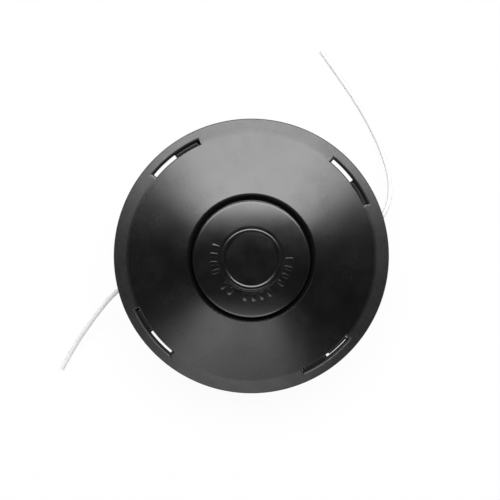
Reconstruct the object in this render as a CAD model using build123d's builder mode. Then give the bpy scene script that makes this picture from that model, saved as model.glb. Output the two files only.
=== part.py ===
"""Two-line bump-feed trimmer head, lying on its gearbox side with the bump knob up."""

import os
from math import cos, pi, radians, sin, tan

from build123d import *

os.makedirs("parts", exist_ok=True)

# Clearances
running_clearance = 0.1
seat_clearance = 0.3
press_clearance = 0.05

# Cutting line
line_diameter = 2.4

# Bump stroke and ratchet
bump_travel = 6.0
tooth_count = 8
tooth_angle = 9.0
lug_angle = 8.0
tooth_start = 2.0
upper_tooth_height = 3.1
upper_lug_gap = 0.5
upper_lug_lead = 11.0
lower_tooth_height = 2.6
lower_lug_height = 3.0
lower_lug_lead = 23.5
ratchet_inner_radius = 34.5
ratchet_width = 6.0

# Housing cup
hub_radius = 24.0
hub_height = 4.5
deck_thickness = 3.2
housing_radius = 60.0
housing_wall = 3.0
shoulder_radius = 9.0
hub_fillet = 1.5
back_rib_count = 8
back_rib_width = 2.4
back_rib_ground_gap = 1.2
back_rib_inset = 6.0
grip_rib_width = 3.2
grip_rib_height = 0.9
grip_rib_pitch = 12.0
grip_rib_gap = 18.0
grip_rib_top_gap = 3.0

# Shaft seat and captive nut
shaft_hole_radius = 5.6
seat_washer_radius = 14.8
seat_washer_thickness = 1.6
nut_flats = 17.0
nut_height = 10.0
nut_pocket_depth = 7.5
nut_bore_radius = 4.4
nut_chamfer = 1.0
post_radius = 12.5
post_height = 34.8
retainer_thickness = 2.0

# Spring and its washers
wire_diameter = 1.6
spring_turns = 6
spring_post_gap = 0.8
spring_room = 0.7
washer_thickness = 1.0

# Spool
core_radius = 24.0
flange_thickness = 2.0
chamber_width = 7.0
flange_gap = 3.6
divider_step = 3.0
winding_depth = 20.0
winding_gap = 0.2
bearing_length = 10.0
neck_height = 6.0
line_notch_depth = 5.0
line_notch_width = 2.7

# Knob and its screws
knob_radius = 27.9
knob_wall = 2.9
knob_height = 12.1
knob_edge_radius = 0.3
knob_dome_rise = 1.75
knob_flange_overlap = 2.6
knob_flange_thickness = 2.0
dish_radius = 12.7
dish_depth = 0.5
bead_width = 1.9
bead_height = 0.15
bar_groups = ((160.0, 4), (223.5, 2), (260.5, 4), (321.5, 4))
bar_pitch = 12.8
bar_inner_radius = 16.1
bar_length = 4.2
bar_width = 2.2
bar_height = 0.3
screw_count = 3
screw_circle_radius = 19.6
screw_shank_radius = 1.75
screw_head_radius = 2.6
screw_head_height = 2.4
screw_socket_radius = 1.4
screw_socket_depth = 1.3
screw_length = 11.0
screw_grip = 4.0
screw_post_radius = 3.8

# Cover
cover_seat_drop = 1.5
rim_thickness = 2.0
skirt_wall = 4.55
skirt_height = 6.5
rim_edge_radius = 1.2
crease_inset = 0.75
crease_rise = 0.9
cone_rise = 8.9
cone_thickness = 2.8
lug_skin = 0.6
knob_gap = 1.7
lip_radius = 1.8
lip_thickness = 3.0
spigot_wall = 2.1
spigot_height = 4.5
window_count = 4
window_first_angle = 24.4
window_angle = 25.5
window_offset = 1.25
window_width = 2.5
window_chamfer = 0.75
skirt_relief = 0.2
ledge_angle = 12.6
ledge_thickness = 2.5
hook_start_angle = 0.9
hook_end_angle = 0.8
hook_arm_thickness = 1.7
hook_rise = 0.8
hook_wall_gap = 0.75
lock_finger_start = 308.5
lock_finger_angle = 11.1
lock_finger_gap = 0.35
lock_tip_angle = 1.0
lock_slit_angle = 1.0
lock_slit_depth = 15.0

# Eyelets
eyelet_angles = {"right": 12.5, "left": 192.5}
eyelet_barrel_radius = 3.4
eyelet_bore_radius = 1.9
eyelet_flange_radius = 4.8
eyelet_flange_thickness = 1.2
eyelet_boss_radius = 6.4
eyelet_boss_height = 0.6
eyelet_flare = 1.7
eyelet_inner_reach = 1.0

# Heights of the stack, from the mounting face up
floor_z = hub_height + deck_thickness
spool_base_z = floor_z + lower_lug_height + bump_travel + seat_clearance
lower_chamber_z = spool_base_z + flange_thickness
divider_z = lower_chamber_z + chamber_width
upper_chamber_z = divider_z + flange_thickness
top_flange_z = upper_chamber_z + chamber_width
spool_top_z = top_flange_z + flange_thickness
neck_top_z = spool_top_z + neck_height
recess_top_z = neck_top_z - bearing_length
post_top_z = floor_z + post_height
housing_top_z = spool_top_z - cover_seat_drop
rim_z = housing_top_z + rim_thickness
skirt_base_z = rim_z - skirt_height
crease_z = rim_z + crease_rise
lip_z = rim_z + cone_rise
land_z = lip_z - lip_thickness
knob_edge_z = land_z + knob_height
knob_ceiling_z = knob_edge_z - knob_wall
eyelet_z = lower_chamber_z + chamber_width / 2

# Radii, from the housing wall in and out
housing_inner_radius = housing_radius - housing_wall
spigot_outer_radius = housing_inner_radius - seat_clearance
spigot_inner_radius = spigot_outer_radius - spigot_wall
flange_radius = spigot_inner_radius - flange_gap
divider_radius = flange_radius - divider_step
window_inner_radius = housing_radius + window_offset
window_outer_radius = window_inner_radius + window_width
skirt_inner_radius = window_outer_radius + skirt_relief
cover_radius = skirt_inner_radius + skirt_wall
crease_radius = window_inner_radius + crease_inset
hole_radius = knob_radius + knob_gap
knob_flange_radius = hole_radius + knob_flange_overlap
land_radius = knob_flange_radius + 2 * seat_clearance
knob_inner_radius = knob_radius - knob_wall
neck_radius = knob_inner_radius - seat_clearance
bead_radius = dish_radius + bead_width
hook_outer_radius = window_outer_radius - hook_wall_gap
hook_inner_radius = window_inner_radius + seat_clearance
spool_bore_radius = post_radius + running_clearance
spring_radius = post_radius + spring_post_gap + wire_diameter / 2
recess_radius = spring_radius + wire_diameter / 2 + spring_room
washer_inner_radius = post_radius + seat_clearance
washer_outer_radius = recess_radius - seat_clearance
nut_pocket_radius = nut_flats / 2 + seat_clearance / 2
post_bore_radius = nut_pocket_radius / cos(pi / 6) + 2 * press_clearance
ratchet_outer_radius = ratchet_inner_radius + ratchet_width
screw_clearance_radius = screw_shank_radius + 2 * running_clearance
screw_tunnel_radius = screw_head_radius + 2 * running_clearance
eyelet_face_radius = housing_radius + eyelet_boss_height
eyelet_mouth_radius = eyelet_face_radius + eyelet_flange_thickness
eyelet_inner_end = housing_inner_radius - eyelet_inner_reach
cone_slope = (lip_z - crease_z) / (crease_radius - hole_radius - lip_radius)
tooth_pitch = 360 / tooth_count
window_pitch = 360 / window_count
window_starts = [window_first_angle + window_pitch * i for i in range(window_count)]
tooth_starts = [tooth_start + tooth_pitch * i for i in range(tooth_count)]


def cone_z(radius):
    """Height of the cover's outer cone at a radius."""
    return crease_z + cone_slope * (crease_radius - radius)


def rim_height(radius):
    """Height of the cover's flat rim at a radius."""
    rim_edge = cover_radius - rim_edge_radius
    return rim_z + crease_rise * (rim_edge - radius) / (rim_edge - crease_radius)


def radial_plane(angle):
    """Upright plane through the axis, with its local x pointing out at an angle."""
    turn = radians(angle)
    return Plane(origin=(0, 0, 0), x_dir=(cos(turn), sin(turn), 0), z_dir=(sin(turn), -cos(turn), 0))


def eyelet_plane(angle, radius):
    """Plane square to an eyelet's bore at a distance from the axis."""
    turn = radians(angle)
    centre = (radius * cos(turn), radius * sin(turn), eyelet_z)
    return Plane(origin=centre, x_dir=(-sin(turn), cos(turn), 0), z_dir=(cos(turn), sin(turn), 0))


def ring_block(start, sweep_angle, radii, heights, mode=Mode.ADD):
    """Add or cut a block that follows a ring from a start angle."""
    with BuildSketch(radial_plane(start)) as block:
        with Locations((sum(radii) / 2, sum(heights) / 2)):
            Rectangle(radii[1] - radii[0], heights[1] - heights[0])
    revolve(block.sketch, axis=Axis.Z, revolution_arc=sweep_angle, mode=mode)


def washer(inner, outer, bottom, thickness):
    """Add a flat ring."""
    with BuildSketch(Plane.XY.offset(bottom)) as ring:
        Circle(outer)
        Circle(inner, mode=Mode.SUBTRACT)
    extrude(ring.sketch, amount=thickness)


# Housing: a moulded cup with hub, nut post, hooks and lock finger
with BuildPart() as upper_housing:
    with BuildSketch(Plane.XZ) as cup_section:
        with BuildLine():
            Polyline(
                (0, 0),
                (hub_radius, 0),
                (hub_radius, hub_height),
                (housing_radius, hub_height),
                (housing_radius, housing_top_z),
                (housing_inner_radius, housing_top_z),
                (housing_inner_radius, floor_z),
                (post_radius, floor_z),
                (post_radius, post_top_z),
                (0, post_top_z),
                close=True,
            )
        make_face()
        fillet(vertices().sort_by_distance((housing_radius, hub_height))[0], radius=shoulder_radius)
        fillet(vertices().sort_by_distance((housing_inner_radius, floor_z))[0],
               radius=shoulder_radius - housing_wall)
        fillet(vertices().sort_by_distance((hub_radius, hub_height))[0], radius=hub_fillet)
    revolve(axis=Axis.Z)
    back_rib_end = housing_radius - back_rib_inset
    with BuildSketch(Plane.XY.offset(back_rib_ground_gap)) as back_ribs:
        with PolarLocations((hub_radius + back_rib_end) / 2 - hub_fillet / 2, back_rib_count):
            Rectangle(back_rib_end - hub_radius + hub_fillet, back_rib_width)
    extrude(amount=hub_height + deck_thickness / 2 - back_rib_ground_gap)
    with BuildSketch(Plane.XY.offset(hub_height + shoulder_radius)) as grip_ribs:
        for eyelet_angle in eyelet_angles.values():
            angle = eyelet_angle + grip_rib_gap
            while angle <= eyelet_angle + 180 - grip_rib_gap:
                lock_offset = angle - lock_finger_start - lock_finger_angle / 2
                if abs(lock_offset) > grip_rib_pitch:
                    with PolarLocations(housing_radius, 1, start_angle=angle):
                        Rectangle(2 * grip_rib_height, grip_rib_width)
                angle += grip_rib_pitch
    extrude(amount=skirt_base_z - grip_rib_top_gap - hub_height - shoulder_radius)
    for eyelet_angle in eyelet_angles.values():
        with BuildSketch(eyelet_plane(eyelet_angle, housing_inner_radius + housing_wall / 2)):
            Circle(eyelet_boss_radius)
        extrude(amount=housing_wall / 2 + eyelet_boss_height)
        with BuildSketch(eyelet_plane(eyelet_angle, flange_radius)):
            Circle(eyelet_barrel_radius + press_clearance)
        extrude(amount=eyelet_mouth_radius - flange_radius, mode=Mode.SUBTRACT)
    hook_base_z = skirt_base_z + ledge_thickness + running_clearance
    hook_top_z = hook_base_z + hook_arm_thickness + hook_rise
    hook_angle = ledge_angle - hook_start_angle - hook_end_angle
    arm_inner_radius = housing_radius - housing_wall / 2
    for start in window_starts:
        arm_heights = (hook_base_z, hook_base_z + hook_arm_thickness)
        ring_block(start + hook_start_angle, hook_angle, (arm_inner_radius, hook_outer_radius), arm_heights)
        ring_block(start + hook_start_angle, hook_angle, (hook_inner_radius, hook_outer_radius),
                   (hook_base_z, hook_top_z))
    finger_outer_radius = hook_outer_radius - lock_finger_gap
    ring_block(lock_finger_start, lock_finger_angle, (arm_inner_radius, finger_outer_radius),
               (hook_base_z, hook_base_z + hook_arm_thickness))
    ring_block(lock_finger_start, lock_finger_angle, (hook_inner_radius, finger_outer_radius),
               (hook_base_z, hook_top_z))
    lock_finger_end = lock_finger_start + lock_finger_angle
    ring_block(lock_finger_end - lock_tip_angle, lock_tip_angle,
               (hook_inner_radius, window_outer_radius - seat_clearance), (hook_base_z, hook_top_z))
    for slit_start in (lock_finger_start - lock_slit_angle, lock_finger_end):
        ring_block(slit_start, lock_slit_angle, (flange_radius, window_inner_radius),
                   (housing_top_z - lock_slit_depth, land_z), Mode.SUBTRACT)
    for start in tooth_starts:
        ring_block(start + tooth_angle + lower_lug_lead, lug_angle,
                   (ratchet_inner_radius, ratchet_outer_radius),
                   (floor_z - deck_thickness / 2, floor_z + lower_lug_height))
    with BuildSketch(Plane.XY.offset(hub_height)) as nut_pocket:
        RegularPolygon(nut_pocket_radius, 6, major_radius=False)
    extrude(amount=nut_pocket_depth, mode=Mode.SUBTRACT)
    with BuildSketch(Plane.XY.offset(hub_height + nut_pocket_depth)) as post_bore:
        Circle(post_bore_radius)
    extrude(amount=post_top_z, mode=Mode.SUBTRACT)
    with BuildSketch() as shaft_hole:
        Circle(shaft_hole_radius)
    extrude(amount=hub_height, mode=Mode.SUBTRACT)
    with BuildSketch() as washer_recess:
        Circle(seat_washer_radius + seat_clearance)
    extrude(amount=seat_washer_thickness, mode=Mode.SUBTRACT)
upper_housing.part.label = "upper_housing"
export_step(upper_housing.part, "parts/upper_housing.step")

# Steel washer let into the mounting face
with BuildPart() as seat_washer:
    washer(shaft_hole_radius + seat_clearance, seat_washer_radius, 0, seat_washer_thickness)
seat_washer.part.label = "seat_washer"
export_step(seat_washer.part, "parts/seat_washer.step")

# Captive nut for the gearbox shaft
with BuildPart() as arbor_nut:
    with BuildSketch(Plane.XY.offset(hub_height)) as nut_section:
        RegularPolygon(nut_flats / 2, 6, major_radius=False)
        Circle(nut_bore_radius, mode=Mode.SUBTRACT)
    extrude(amount=nut_height)
    bore_mouths = edges().filter_by(GeomType.CIRCLE)
    chamfer(bore_mouths, length=nut_chamfer)
arbor_nut.part.label = "arbor_nut"
export_step(arbor_nut.part, "parts/arbor_nut.step")

# Pressed ring over the nut
with BuildPart() as nut_retainer:
    washer(shaft_hole_radius, post_bore_radius - press_clearance, hub_height + nut_height, retainer_thickness)
nut_retainer.part.label = "nut_retainer"
export_step(nut_retainer.part, "parts/nut_retainer.step")

# Eyelets: flanged tubes with a flare at both ends, pressed into the housing wall
for side, eyelet_angle in eyelet_angles.items():
    with BuildPart() as line_eyelet:
        with BuildSketch(eyelet_plane(eyelet_angle, eyelet_inner_end)):
            Circle(eyelet_barrel_radius)
        extrude(amount=eyelet_face_radius - eyelet_inner_end)
        with BuildSketch(eyelet_plane(eyelet_angle, eyelet_face_radius)):
            Circle(eyelet_flange_radius)
        extrude(amount=eyelet_flange_thickness)
        with BuildSketch(eyelet_plane(eyelet_angle, eyelet_inner_end)):
            Circle(eyelet_bore_radius)
        extrude(amount=eyelet_mouth_radius - eyelet_inner_end, mode=Mode.SUBTRACT)
        outward = Axis((0, 0, 0), (cos(radians(eyelet_angle)), sin(radians(eyelet_angle)), 0))
        bore_edges = edges().filter_by(lambda edge: abs(edge.radius - eyelet_bore_radius) < press_clearance
                                       if edge.geom_type == GeomType.CIRCLE else False)
        fillet(bore_edges.sort_by(outward)[-1], radius=eyelet_flare)
        fillet(bore_edges.sort_by(outward)[0], radius=eyelet_flare / 2)
    line_eyelet.part.label = "line_eyelet_" + side
    export_step(line_eyelet.part, "parts/line_eyelet_" + side + ".step")

# Washer that the spring stands on
with BuildPart() as spring_seat:
    washer(washer_inner_radius, washer_outer_radius, floor_z, washer_thickness)
spring_seat.part.label = "spring_seat"
export_step(spring_seat.part, "parts/spring_seat.step")

# Washer between the spring and the turning spool
with BuildPart() as thrust_washer:
    washer(washer_inner_radius, washer_outer_radius, recess_top_z - washer_thickness, washer_thickness)
thrust_washer.part.label = "thrust_washer"
export_step(thrust_washer.part, "parts/thrust_washer.step")

# Compression spring with ground ends
with BuildPart() as bump_spring:
    spring_base_z = floor_z + washer_thickness
    spring_length = recess_top_z - washer_thickness - spring_base_z
    with BuildLine() as wire_path:
        Helix(pitch=spring_length / spring_turns, height=spring_length, radius=spring_radius,
              center=(0, 0, spring_base_z))
    with BuildSketch(Plane(origin=wire_path.line @ 0, z_dir=wire_path.line % 0)):
        Circle(wire_diameter / 2)
    sweep(is_frenet=True)
    for end_plane in (Plane.XY.offset(spring_base_z - wire_diameter),
                      Plane.XY.offset(spring_base_z + spring_length)):
        with BuildSketch(end_plane):
            Circle(spring_radius + wire_diameter)
        extrude(amount=wire_diameter, mode=Mode.SUBTRACT)
bump_spring.part.label = "bump_spring"
export_step(bump_spring.part, "parts/bump_spring.step")

# Spool: two chambers on a hollow core, with ratchet teeth on both faces
with BuildPart() as spool:
    with BuildSketch(Plane.XZ) as reel_section:
        with BuildLine():
            Polyline(
                (recess_radius, spool_base_z),
                (flange_radius, spool_base_z),
                (flange_radius, lower_chamber_z),
                (core_radius, lower_chamber_z),
                (core_radius, divider_z),
                (divider_radius, divider_z),
                (divider_radius, upper_chamber_z),
                (core_radius, upper_chamber_z),
                (core_radius, top_flange_z),
                (flange_radius, top_flange_z),
                (flange_radius, spool_top_z),
                (neck_radius, spool_top_z),
                (neck_radius, neck_top_z),
                (spool_bore_radius, neck_top_z),
                (spool_bore_radius, recess_top_z),
                (recess_radius, recess_top_z),
                close=True,
            )
        make_face()
    revolve(axis=Axis.Z)
    for start in tooth_starts:
        ring_block(start, tooth_angle, (ratchet_inner_radius, ratchet_outer_radius),
                   (spool_top_z - flange_thickness / 2, spool_top_z + upper_tooth_height))
        ring_block(start, tooth_angle, (ratchet_inner_radius, ratchet_outer_radius),
                   (spool_base_z - lower_tooth_height, spool_base_z + flange_thickness / 2))
    with BuildSketch(Plane.XY.offset(spool_base_z)) as screw_tunnels:
        with PolarLocations(screw_circle_radius, screw_count):
            Circle(screw_tunnel_radius)
    extrude(amount=neck_top_z - screw_grip - spool_base_z, mode=Mode.SUBTRACT)
    with BuildSketch(Plane.XY.offset(spool_base_z)) as screw_holes:
        with PolarLocations(screw_circle_radius, screw_count):
            Circle(screw_clearance_radius)
    extrude(amount=neck_top_z - spool_base_z, mode=Mode.SUBTRACT)
    with BuildSketch(Plane.XY.offset(spool_base_z)) as line_notches:
        with PolarLocations(flange_radius - line_notch_depth / 2, 2):
            SlotOverall(2 * line_notch_depth, line_notch_width)
    extrude(amount=spool_top_z - spool_base_z, mode=Mode.SUBTRACT)
spool.part.label = "spool"
export_step(spool.part, "parts/spool.step")

# Wound line: one solid in each chamber, its outer turns lying side by side
for level, chamber_z in (("lower", lower_chamber_z), ("upper", upper_chamber_z)):
    with BuildPart() as line_winding:
        with BuildSketch(Plane.XZ) as turns_section:
            winding_inner_radius = core_radius + winding_gap
            winding_width = chamber_width - 2 * winding_gap
            with Locations((winding_inner_radius + winding_depth / 2, chamber_z + chamber_width / 2)):
                Rectangle(winding_depth, winding_width)
            turns_across = int(winding_width / line_diameter) + 1
            turn_pitch = (winding_width - line_diameter) / (turns_across - 1)
            for turn in range(turns_across):
                turn_z = chamber_z + winding_gap + line_diameter / 2 + turn * turn_pitch
                with Locations((winding_inner_radius + winding_depth, turn_z)):
                    Circle(line_diameter / 2)
        revolve(axis=Axis.Z)
    line_winding.part.label = "line_winding_" + level
    export_step(line_winding.part, "parts/line_winding_" + level + ".step")

# Screws that hold the knob to the spool's neck
with BuildPart() as knob_screws:
    head_seat_z = neck_top_z - screw_grip
    with BuildSketch(Plane.XY.offset(head_seat_z - screw_head_height)) as screw_heads:
        with PolarLocations(screw_circle_radius, screw_count):
            Circle(screw_head_radius)
    extrude(amount=screw_head_height)
    with BuildSketch(Plane.XY.offset(head_seat_z)) as screw_shanks:
        with PolarLocations(screw_circle_radius, screw_count):
            Circle(screw_shank_radius)
    extrude(amount=screw_length)
    with BuildSketch(Plane.XY.offset(head_seat_z - screw_head_height)) as screw_sockets:
        with PolarLocations(screw_circle_radius, screw_count):
            RegularPolygon(screw_socket_radius, 6)
    extrude(amount=screw_socket_depth, mode=Mode.SUBTRACT)
knob_screws.part.label = "knob_screws"
export_step(knob_screws.part, "parts/knob_screws.step")

# Bump knob: a domed cap with a retaining flange, a beaded dish and raised bars
with BuildPart() as bump_knob:
    dome_edge_radius = knob_radius - knob_edge_radius
    bead_base_z = knob_edge_z + knob_dome_rise
    dish_z = bead_base_z - dish_depth
    dome_mid_radius = (dome_edge_radius + bead_radius) / 2
    dome_curve = knob_dome_rise / (dome_edge_radius ** 2 - bead_radius ** 2)
    dome_mid_z = knob_edge_z + dome_curve * (dome_edge_radius ** 2 - dome_mid_radius ** 2)
    bead_crest = (dish_radius + bead_width / 2, bead_base_z + bead_height)
    with BuildSketch(Plane.XZ) as knob_section:
        with BuildLine():
            Polyline(
                (0, dish_z),
                (0, knob_ceiling_z),
                (knob_inner_radius, knob_ceiling_z),
                (knob_inner_radius, land_z - knob_flange_thickness),
                (knob_flange_radius, land_z - knob_flange_thickness),
                (knob_flange_radius, land_z),
                (knob_radius, land_z),
                (knob_radius, knob_edge_z - knob_edge_radius),
            )
            RadiusArc((knob_radius, knob_edge_z - knob_edge_radius), (dome_edge_radius, knob_edge_z),
                      -knob_edge_radius)
            ThreePointArc((dome_edge_radius, knob_edge_z), (dome_mid_radius, dome_mid_z),
                          (bead_radius, bead_base_z))
            ThreePointArc((bead_radius, bead_base_z), bead_crest, (dish_radius, bead_base_z))
            Polyline((dish_radius, bead_base_z), (dish_radius - dish_depth, dish_z), (0, dish_z))
        make_face()
    revolve(axis=Axis.Z)
    with BuildSketch(Plane.XY.offset(neck_top_z)) as screw_posts:
        with PolarLocations(screw_circle_radius, screw_count):
            Circle(screw_post_radius)
    extrude(amount=knob_ceiling_z + knob_wall / 2 - neck_top_z)
    with BuildSketch(Plane.XY.offset(neck_top_z)) as screw_pilots:
        with PolarLocations(screw_circle_radius, screw_count):
            Circle(screw_shank_radius + press_clearance)
    extrude(amount=screw_length - screw_grip + 2 * seat_clearance, mode=Mode.SUBTRACT)
    bar_mid_radius = bar_inner_radius + bar_length / 2
    bar_top_z = knob_edge_z + dome_curve * (dome_edge_radius ** 2 - bar_mid_radius ** 2) + bar_height
    with BuildSketch(Plane.XY.offset(knob_edge_z - knob_wall / 2)) as raised_bars:
        for first_angle, bar_count in bar_groups:
            for bar in range(bar_count):
                with PolarLocations(bar_mid_radius, 1, start_angle=first_angle + bar * bar_pitch):
                    SlotOverall(bar_length, bar_width)
    extrude(amount=bar_top_z - knob_edge_z + knob_wall / 2)
bump_knob.part.label = "bump_knob"
export_step(bump_knob.part, "parts/bump_knob.step")

# Cover: a cone with a turned-down rim, four windows and a ledge under half of each
with BuildPart() as bottom_cover:
    land_step_z = cone_z(land_radius) - cone_thickness
    with BuildSketch(Plane.XZ) as cover_section:
        with BuildLine():
            Polyline(
                (hole_radius, lip_z - lip_radius),
                (hole_radius, land_z),
                (land_radius, land_z),
                (land_radius, land_step_z),
                (spigot_inner_radius, cone_z(spigot_inner_radius) - cone_thickness),
                (spigot_inner_radius, housing_top_z - spigot_height),
                (spigot_outer_radius, housing_top_z - spigot_height),
                (spigot_outer_radius, housing_top_z),
                (skirt_inner_radius, housing_top_z),
                (skirt_inner_radius, skirt_base_z),
                (cover_radius, skirt_base_z),
                (cover_radius, rim_z - rim_edge_radius),
            )
            RadiusArc((cover_radius, rim_z - rim_edge_radius), (cover_radius - rim_edge_radius, rim_z),
                      -rim_edge_radius)
            Polyline((cover_radius - rim_edge_radius, rim_z), (crease_radius, crease_z),
                     (hole_radius + lip_radius, lip_z))
            RadiusArc((hole_radius + lip_radius, lip_z), (hole_radius, lip_z - lip_radius), -lip_radius)
        make_face()
    revolve(axis=Axis.Z)
    chamfer_top_radius = window_outer_radius + window_chamfer
    chamfer_base_z = rim_height(chamfer_top_radius) - window_chamfer
    window_top_z = crease_z + crease_inset
    for start in window_starts:
        with BuildSketch(radial_plane(start)) as window_section:
            with BuildLine():
                Polyline(
                    (window_inner_radius, skirt_base_z),
                    (window_outer_radius, skirt_base_z),
                    (window_outer_radius, chamfer_base_z),
                    (window_outer_radius + window_top_z - chamfer_base_z, window_top_z),
                    (window_inner_radius, window_top_z),
                    close=True,
                )
            make_face()
        revolve(axis=Axis.Z, revolution_arc=window_angle, mode=Mode.SUBTRACT)
        ring_block(start, ledge_angle, (hook_inner_radius, skirt_inner_radius + skirt_wall / 2),
                   (skirt_base_z, skirt_base_z + ledge_thickness))
    for start in tooth_starts:
        ring_block(start + tooth_angle + upper_lug_lead, lug_angle,
                   (ratchet_inner_radius, ratchet_outer_radius),
                   (spool_top_z + upper_lug_gap, cone_z(ratchet_outer_radius) - lug_skin))
bottom_cover.part.label = "bottom_cover"
export_step(bottom_cover.part, "parts/bottom_cover.step")

# Line tails: out through the eyelets, down and along the ground to their cut ends
tail_routes = {
    "right": [
        (52.75, 11.69, 22.5),
        (62.5, 13.86, 22.5),
        (68.98, 22.24, 20.0),
        (71.91, 30.74, 15.5),
        (71.96, 42.41, 8.8),
        (67.23, 58.06, 3.2),
        (58.39, 75.13, 1.3),
        (47.73, 90.97, 1.3),
        (36.66, 106.13, 1.3),
    ],
    "left": [
        (-52.75, -11.69, 22.5),
        (-62.5, -13.86, 22.5),
        (-71.22, -20.19, 20.0),
        (-79.44, -29.74, 14.5),
        (-87.84, -40.74, 8.0),
        (-95.14, -51.18, 3.2),
        (-101.3, -62.3, 1.3),
    ],
}
for side, route in tail_routes.items():
    points = [Vector(*point) for point in route]
    corner_radii = []
    for before, corner, after in zip(points, points[1:], points[2:]):
        turn = (corner - before).get_angle(after - corner)
        shorter_run = min((corner - before).length, (after - corner).length)
        corner_radii.append(0.45 * shorter_run / tan(radians(turn) / 2))
    with BuildPart() as line_tail:
        with BuildLine() as tail_path:
            FilletPolyline(*points, radius=corner_radii)
        tail_wire = tail_path.wire()
        with BuildSketch(Plane(origin=tail_wire @ 0, z_dir=tail_wire % 0)):
            Circle(line_diameter / 2)
        sweep()
    tube_volume = pi * (line_diameter / 2) ** 2 * tail_wire.length
    print(side, "tail length", round(tail_wire.length, 2), "radii", [round(r, 1) for r in corner_radii])
    print(side, "tail volume over section times length", round(line_tail.part.volume / tube_volume, 5))
    line_tail.part.label = "line_tail_" + side
    export_step(line_tail.part, "parts/line_tail_" + side + ".step")
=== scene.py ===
import math

import bmesh
import bpy
from mathutils import Matrix, Vector


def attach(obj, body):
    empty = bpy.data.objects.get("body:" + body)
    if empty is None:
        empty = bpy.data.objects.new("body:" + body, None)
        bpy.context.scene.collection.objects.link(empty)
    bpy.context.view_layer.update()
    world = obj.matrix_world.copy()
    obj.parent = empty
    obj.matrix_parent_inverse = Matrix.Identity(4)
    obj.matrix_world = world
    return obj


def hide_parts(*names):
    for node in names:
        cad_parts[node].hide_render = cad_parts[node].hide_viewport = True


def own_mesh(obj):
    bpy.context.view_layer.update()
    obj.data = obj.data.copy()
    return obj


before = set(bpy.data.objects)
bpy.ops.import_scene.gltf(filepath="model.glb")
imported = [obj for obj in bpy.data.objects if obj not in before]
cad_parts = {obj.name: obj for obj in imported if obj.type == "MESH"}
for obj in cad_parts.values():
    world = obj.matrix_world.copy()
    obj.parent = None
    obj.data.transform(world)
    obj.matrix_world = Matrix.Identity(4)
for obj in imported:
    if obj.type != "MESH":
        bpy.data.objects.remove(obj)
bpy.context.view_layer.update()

# Camera: it stands almost straight above the knob and looks down on the head,
# tipped a few degrees, so that more of the near wall of each window shows.
camera_lens = bpy.data.cameras.new("camera")
camera_lens.lens = 74.9
camera_lens.sensor_width = 36.0
camera = bpy.data.objects.new("camera", camera_lens)
camera.location = (-0.000677, 0.032370, 0.553500)
camera.rotation_euler = (math.radians(-3.2), 0.0, 0.0)
bpy.context.scene.collection.objects.link(camera)
bpy.context.scene.camera = camera
bpy.context.scene.view_settings.view_transform = "Standard"

# Line tails: white drawn nylon, 2.4 mm thick, cut off square. Each comes out of its eyelet,
# drops to the ground and lies there in the easy curve it kept from the winding.
line_diameter = 0.0024
tail_routes = {
    "right": [
        (0.05275, 0.01169, 0.0225),
        (0.0625, 0.01386, 0.0225),
        (0.06898, 0.02224, 0.0200),
        (0.07191, 0.03074, 0.0155),
        (0.07196, 0.04241, 0.0088),
        (0.06723, 0.05806, 0.0032),
        (0.05839, 0.07513, 0.0013),
        (0.04773, 0.09097, 0.0013),
        (0.03666, 0.10613, 0.0013),
    ],
    "left": [
        (-0.05275, -0.01169, 0.0225),
        (-0.0625, -0.01386, 0.0225),
        (-0.07122, -0.02019, 0.0200),
        (-0.07944, -0.02974, 0.0145),
        (-0.08784, -0.04074, 0.0080),
        (-0.09514, -0.05118, 0.0032),
        (-0.10130, -0.06230, 0.0013),
    ],
}

drawn_nylon = bpy.data.materials.new("drawn_nylon")
drawn_nylon.use_nodes = True
nodes, links = drawn_nylon.node_tree.nodes, drawn_nylon.node_tree.links
shader = nodes["Principled BSDF"]
shader.inputs["IOR"].default_value = 1.53
place = nodes.new("ShaderNodeTexCoord")
draw_marks = nodes.new("ShaderNodeTexNoise")
draw_marks.inputs["Scale"].default_value = 420.0
draw_marks.inputs["Detail"].default_value = 3.0
tint = nodes.new("ShaderNodeValToRGB")
tint.color_ramp.elements[0].color = (0.84, 0.84, 0.83, 1.0)
tint.color_ramp.elements[1].color = (0.88, 0.88, 0.87, 1.0)
gloss = nodes.new("ShaderNodeMapRange")
gloss.inputs["To Min"].default_value = 0.28
gloss.inputs["To Max"].default_value = 0.38
links.new(place.outputs["Object"], draw_marks.inputs["Vector"])
links.new(draw_marks.outputs["Fac"], tint.inputs["Fac"])
links.new(tint.outputs["Color"], shader.inputs["Base Color"])
links.new(draw_marks.outputs["Fac"], gloss.inputs["Value"])
links.new(gloss.outputs["Result"], shader.inputs["Roughness"])

for side, route in tail_routes.items():
    run = bpy.data.curves.new("nylon_tail_" + side, "CURVE")
    run.dimensions = "3D"
    spline = run.splines.new("NURBS")
    spline.points.add(len(route) - 1)
    for knot, point in zip(spline.points, route):
        knot.co = (*point, 1.0)
    spline.order_u = 3
    spline.use_endpoint_u = True
    spline.resolution_u = 16
    run.bevel_depth = line_diameter / 2
    run.bevel_resolution = 7
    run.use_fill_caps = True
    run.materials.append(drawn_nylon)
    tail = bpy.data.objects.new("nylon_tail_" + side, run)
    bpy.context.scene.collection.objects.link(tail)
    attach(tail, "housing")
    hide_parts("line_tail_" + side)

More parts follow.
